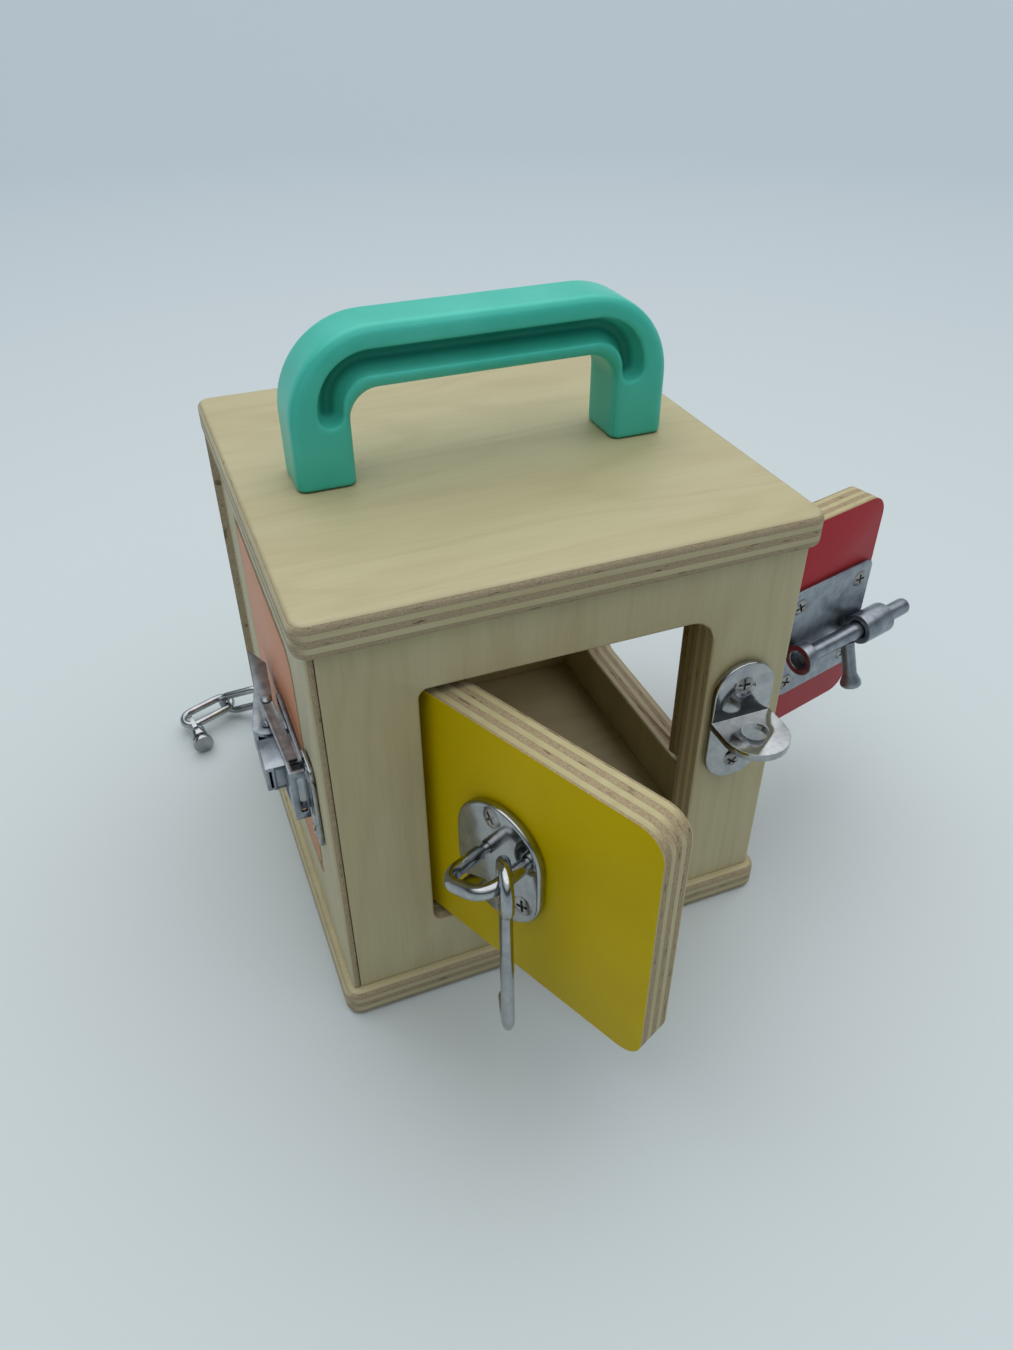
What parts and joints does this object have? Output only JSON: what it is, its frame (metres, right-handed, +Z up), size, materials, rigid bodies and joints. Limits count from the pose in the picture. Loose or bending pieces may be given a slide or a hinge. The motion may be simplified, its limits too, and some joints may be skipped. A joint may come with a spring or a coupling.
{
  "type": "latch box",
  "caption": "Cubic plywood box with a carrying handle and a hinged door in each wall, held by a hook, a barrel bolt, a toggle latch and a door chain.",
  "frame": {"origin": "centre of the base plate's underside", "axes": "+Z up, -Y out of the front wall (yellow door, hook and staple), +X out of the right wall (red door, barrel bolt)"},
  "size_m": [0.2808, 0.2505, 0.203],
  "materials": {
    "plywood": "satin varnish over birch plywood",
    "teal_paint": "painted wood, satin",
    "yellow_paint": "painted plywood, satin",
    "red_paint": "painted plywood, satin",
    "orange_paint": "painted plywood, satin",
    "green_paint": "painted plywood, satin",
    "bright_plating": "bright nickel plate",
    "zinc_plating": "dull zinc plate"
  },
  "bodies": {
    "box": {"base_plate": "plywood", "top_plate": "plywood", "front_wall": "plywood", "right_wall": "plywood", "back_wall": "plywood", "left_wall": "plywood", "handle": "teal_paint", "handle_screw_1": "zinc_plating", "handle_screw_2": "zinc_plating", "front_door_pin_1": "zinc_plating", "front_door_pin_2": "zinc_plating", "right_door_pin_1": "zinc_plating", "right_door_pin_2": "zinc_plating", "back_door_pin_1": "zinc_plating", "back_door_pin_2": "zinc_plating", "left_door_pin_1": "zinc_plating", "left_door_pin_2": "zinc_plating", "strike_plate": "bright_plating", "strike_plate_screw_1": "zinc_plating", "strike_plate_screw_2": "zinc_plating", "bolt_keeper": "zinc_plating", "bolt_keeper_screw_1": "zinc_plating", "bolt_keeper_screw_2": "zinc_plating", "latch_keeper": "bright_plating", "latch_keeper_screw_1": "zinc_plating", "latch_keeper_screw_2": "zinc_plating", "chain_plate": "bright_plating", "chain_plate_screw_1": "zinc_plating", "chain_plate_screw_2": "zinc_plating"},
    "front_door": {"front_door": "yellow_paint", "eye_plate": "bright_plating", "eye_plate_screw_1": "zinc_plating", "eye_plate_screw_2": "zinc_plating", "staple": "bright_plating"},
    "hook": {"hook": "bright_plating"},
    "right_door": {"right_door": "red_paint", "bolt_plate": "zinc_plating", "bolt_plate_screw_1": "zinc_plating", "bolt_plate_screw_2": "zinc_plating", "bolt_plate_screw_3": "zinc_plating", "bolt_plate_screw_4": "zinc_plating"},
    "bolt": {"bolt_rod": "zinc_plating", "bolt_knob": "zinc_plating"},
    "left_door": {"left_door": "orange_paint", "latch_base": "zinc_plating", "latch_base_screw_1": "zinc_plating", "latch_base_screw_2": "zinc_plating"},
    "latch_lever": {"latch_lever": "zinc_plating"},
    "latch_claw": {"latch_claw": "zinc_plating"},
    "back_door": {"back_door": "green_paint", "chain_track": "bright_plating", "chain_track_screw_1": "zinc_plating", "chain_track_screw_2": "zinc_plating"},
    "chain_link_1": {"chain_link_1": "bright_plating"},
    "chain_link_2": {"chain_link_2": "bright_plating"},
    "chain_link_3": {"chain_link_3": "bright_plating"},
    "chain_link_4": {"chain_link_4": "bright_plating"},
    "chain_link_5": {"chain_link_5": "bright_plating"},
    "chain_stud": {"chain_stud": "bright_plating"}
  },
  "joints": [
    {"name": "front_door_hinge", "type": "hinge", "parent": "box", "child": "front_door", "pos_m": [-0.038, -0.06925, 0.0795], "axis": [0, 0, -1], "range_deg": [-65.6, 39.4]},
    {"name": "hook_swing", "type": "hinge", "parent": "front_door", "child": "hook", "pos_m": [-0.03667, -0.11345, 0.08792], "axis": [-0.9107, -0.4131, 0], "range_deg": [-20, 93]},
    {"name": "right_door_hinge", "type": "hinge", "parent": "box", "child": "right_door", "pos_m": [0.06925, -0.038, 0.0795], "axis": [0, 0, -1], "range_deg": [-62, 29.5]},
    {"name": "bolt_slide", "type": "slide", "parent": "right_door", "child": "bolt", "axis": [0.9681, 0.2504, 0], "range_m": [-0.0195, 0]},
    {"name": "left_door_hinge", "type": "hinge", "parent": "box", "child": "left_door", "pos_m": [-0.06925, 0.038, 0.0795], "axis": [0, 0, -1], "range_deg": [0, 105]},
    {"name": "latch_lever_pivot", "type": "hinge", "parent": "left_door", "child": "latch_lever", "pos_m": [-0.0822, -0.0215, 0.0805], "axis": [0, 0, 1], "range_deg": [0, 100]},
    {"name": "latch_claw_pivot", "type": "hinge", "parent": "latch_lever", "child": "latch_claw", "pos_m": [-0.0807, -0.015, 0.0805], "axis": [0, 0, 1], "range_deg": [-100, 0]},
    {"name": "back_door_hinge", "type": "hinge", "parent": "box", "child": "back_door", "pos_m": [0.038, 0.06925, 0.0795], "axis": [0, 0, -1], "range_deg": [0, 105]},
    {"name": "chain_link_1_swing", "type": "hinge", "parent": "box", "child": "chain_link_1", "pos_m": [-0.0605, 0.087, 0.0634], "axis": [-1, 0, 0], "range_deg": [-45, 0]},
    {"name": "chain_link_2_swing", "type": "hinge", "parent": "chain_link_1", "child": "chain_link_2", "pos_m": [-0.0605, 0.087, 0.0447], "axis": [0, -1, 0], "range_deg": [-25, 0]},
    {"name": "chain_link_3_swing", "type": "hinge", "parent": "chain_link_2", "child": "chain_link_3", "pos_m": [-0.06231, 0.087, 0.02634], "axis": [0.9323, 0, -0.3616], "range_deg": [0, 40]},
    {"name": "chain_link_4_swing", "type": "hinge", "parent": "chain_link_3", "child": "chain_link_4", "pos_m": [-0.07468, 0.08881, 0.0122], "axis": [-0.0147, 0.999, 0.042], "range_deg": [0, 30]},
    {"name": "chain_link_5_swing", "type": "hinge", "parent": "chain_link_4", "child": "chain_link_5", "pos_m": [-0.0903, 0.09813, 0.00639], "axis": [-0.3453, -0.0632, 0.9364], "range_deg": [0, 40]},
    {"name": "chain_stud_swing", "type": "hinge", "parent": "chain_link_5", "child": "chain_stud", "pos_m": [-0.10481, 0.08997, 0.0053], "axis": [0.9667, -0.2242, 0.1235], "range_deg": [-45, 0]}
  ],
  "couplings": [
    {"joint": "latch_claw_pivot", "follows": "latch_lever_pivot", "ratio": -1}
  ]
}
